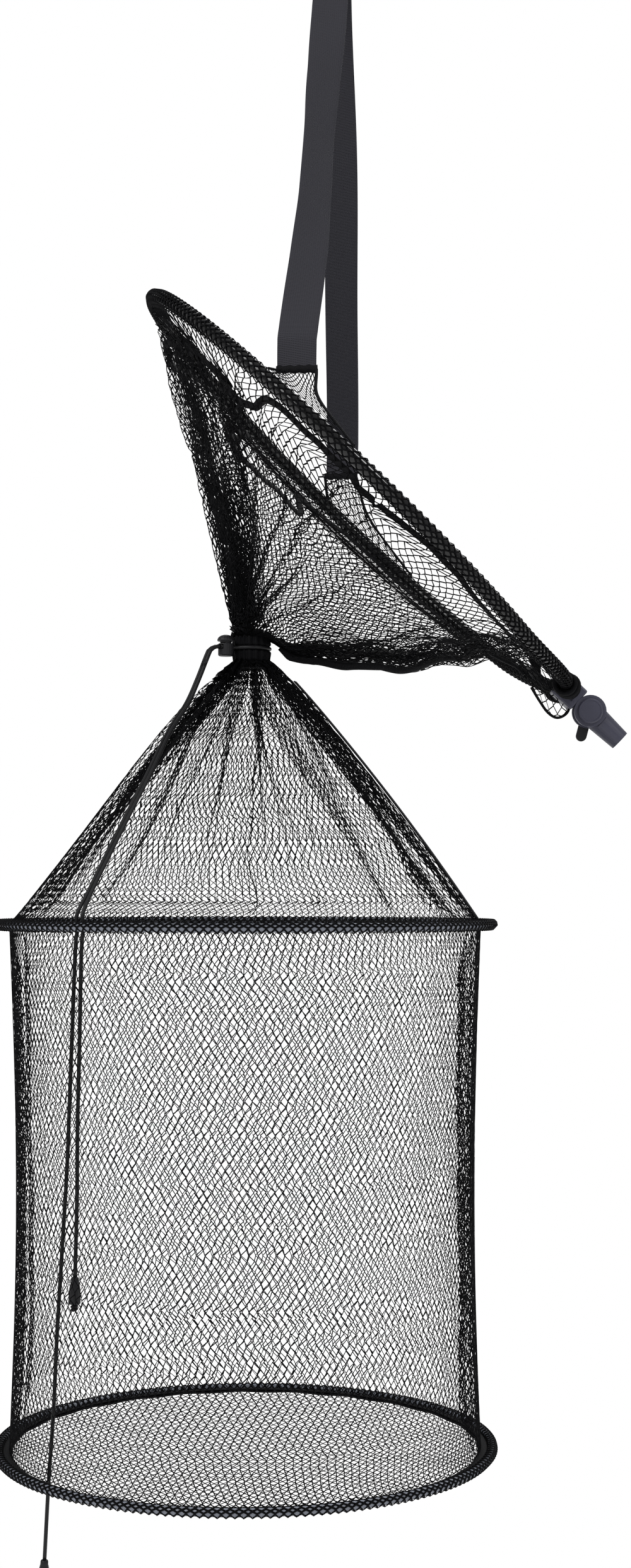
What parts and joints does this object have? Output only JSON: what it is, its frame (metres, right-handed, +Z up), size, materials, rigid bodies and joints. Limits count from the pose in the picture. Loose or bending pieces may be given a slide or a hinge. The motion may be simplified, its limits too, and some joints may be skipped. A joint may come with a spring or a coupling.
{
  "type": "keep net",
  "caption": "Hanging keep net: tilting top hoop on a webbing strap with a mesh funnel, cord-closed neck, collapsible hooped mesh body, flat mesh floor and a pivoting angle lock.",
  "frame": {"origin": "inside the bend at the top of the strap's loop, where the net hangs", "axes": "+Z up, -Z down the net; +X towards the angle lock on the low side of the tilted top hoop; +Y across the strap's loop, away from the camera"},
  "size_m": [0.507, 0.4612, 1.2696],
  "materials": {
    "charcoal_webbing": "satin",
    "black_tube": "satin",
    "black_net": "matt",
    "black_tape": "matt",
    "charcoal_moulding": "satin",
    "steel": "bright",
    "brass": "satin",
    "black_moulding": "satin",
    "black_cord": "glossy",
    "silver_tube": "satin"
  },
  "bodies": {
    "strap": {"strap_webbing": "charcoal_webbing"},
    "top_hoop": {"hoop_tube": "black_tube", "hoop_sleeve": "black_net", "gusset_near": "black_net", "gusset_far": "black_net", "funnel_net": "black_net", "hem_tape": "black_tape", "funnel_seam_tape": "black_tape", "yoke": "charcoal_moulding", "pivot_bolt": "steel", "pivot_cap": "charcoal_moulding"},
    "angle_block": {"thread_block": "charcoal_moulding", "thread_insert": "brass"},
    "clamp_lever": {"clamp_lever": "black_moulding"},
    "neck": {"neck_gather": "black_net", "neck_drawcord": "black_cord", "shoulder_net": "black_net", "shoulder_seam_tape": "black_tape", "cord_a_upper": "black_cord", "cord_b_upper": "black_cord"},
    "middle_hoop": {"middle_hoop_tube": "silver_tube", "middle_hoop_sleeve": "black_net", "middle_hoop_tape": "black_tape", "body_net": "black_net", "body_seam_tape": "black_tape", "cord_a_lower": "black_cord", "cord_b_lower": "black_cord", "cord_a_bell": "black_moulding", "cord_a_knot": "black_cord", "cord_b_bell": "black_moulding", "cord_b_knot": "black_cord"},
    "bottom_hoop": {"bottom_hoop_tube": "silver_tube", "bottom_hoop_sleeve": "black_net", "bottom_hoop_tape": "black_tape", "floor_net": "black_net"},
    "cord_lock": {"cord_lock_barrel": "black_moulding", "cord_lock_spring": "steel"},
    "cord_lock_button": {"cord_lock_button": "charcoal_moulding"}
  },
  "joints": [
    {"name": "hoop_tilt", "type": "hinge", "parent": "strap", "child": "top_hoop", "pos_m": [-0.0096, 0, -0.361], "axis": [0.0889, 0.996, 0], "range_deg": [-25, 25]},
    {"name": "angle_lock", "type": "hinge", "parent": "top_hoop", "child": "angle_block", "pos_m": [0.20515, 0, -0.59364], "axis": [0.0323, 0.9989, 0.0343], "range_deg": [-90, 90]},
    {"name": "clamp_lever_turn", "type": "hinge", "parent": "top_hoop", "child": "clamp_lever", "pos_m": [0.20515, 0, -0.59364], "axis": [0.0323, 0.9989, 0.0343], "range_deg": [-70, 40]},
    {"name": "net_swing", "type": "hinge", "parent": "top_hoop", "child": "neck", "pos_m": [-0.0655, 0, -0.5435], "axis": [0, 1, 0], "range_deg": [-20, 12]},
    {"name": "shoulder_collapse", "type": "slide", "parent": "neck", "child": "middle_hoop", "axis": [0, 0, 1], "range_m": [0, 0.17], "deforming": ["shoulder_net", "shoulder_seam_tape", "cord_a_upper", "cord_b_upper"]},
    {"name": "body_collapse", "type": "slide", "parent": "middle_hoop", "child": "bottom_hoop", "axis": [0, 0, 1], "range_m": [0, 0.405], "deforming": ["body_net", "body_seam_tape"]},
    {"name": "cord_lock_slide", "type": "slide", "parent": "neck", "child": "cord_lock", "axis": [-0.7986, -0.6018, 0], "range_m": [0, 0.012]},
    {"name": "cord_lock_press", "type": "slide", "parent": "cord_lock", "child": "cord_lock_button", "axis": [0, 0, -1], "range_m": [0, 0.0016], "stiffness_N_per_m": 600, "springref_m": -0.004, "deforming": ["cord_lock_spring"]}
  ]
}
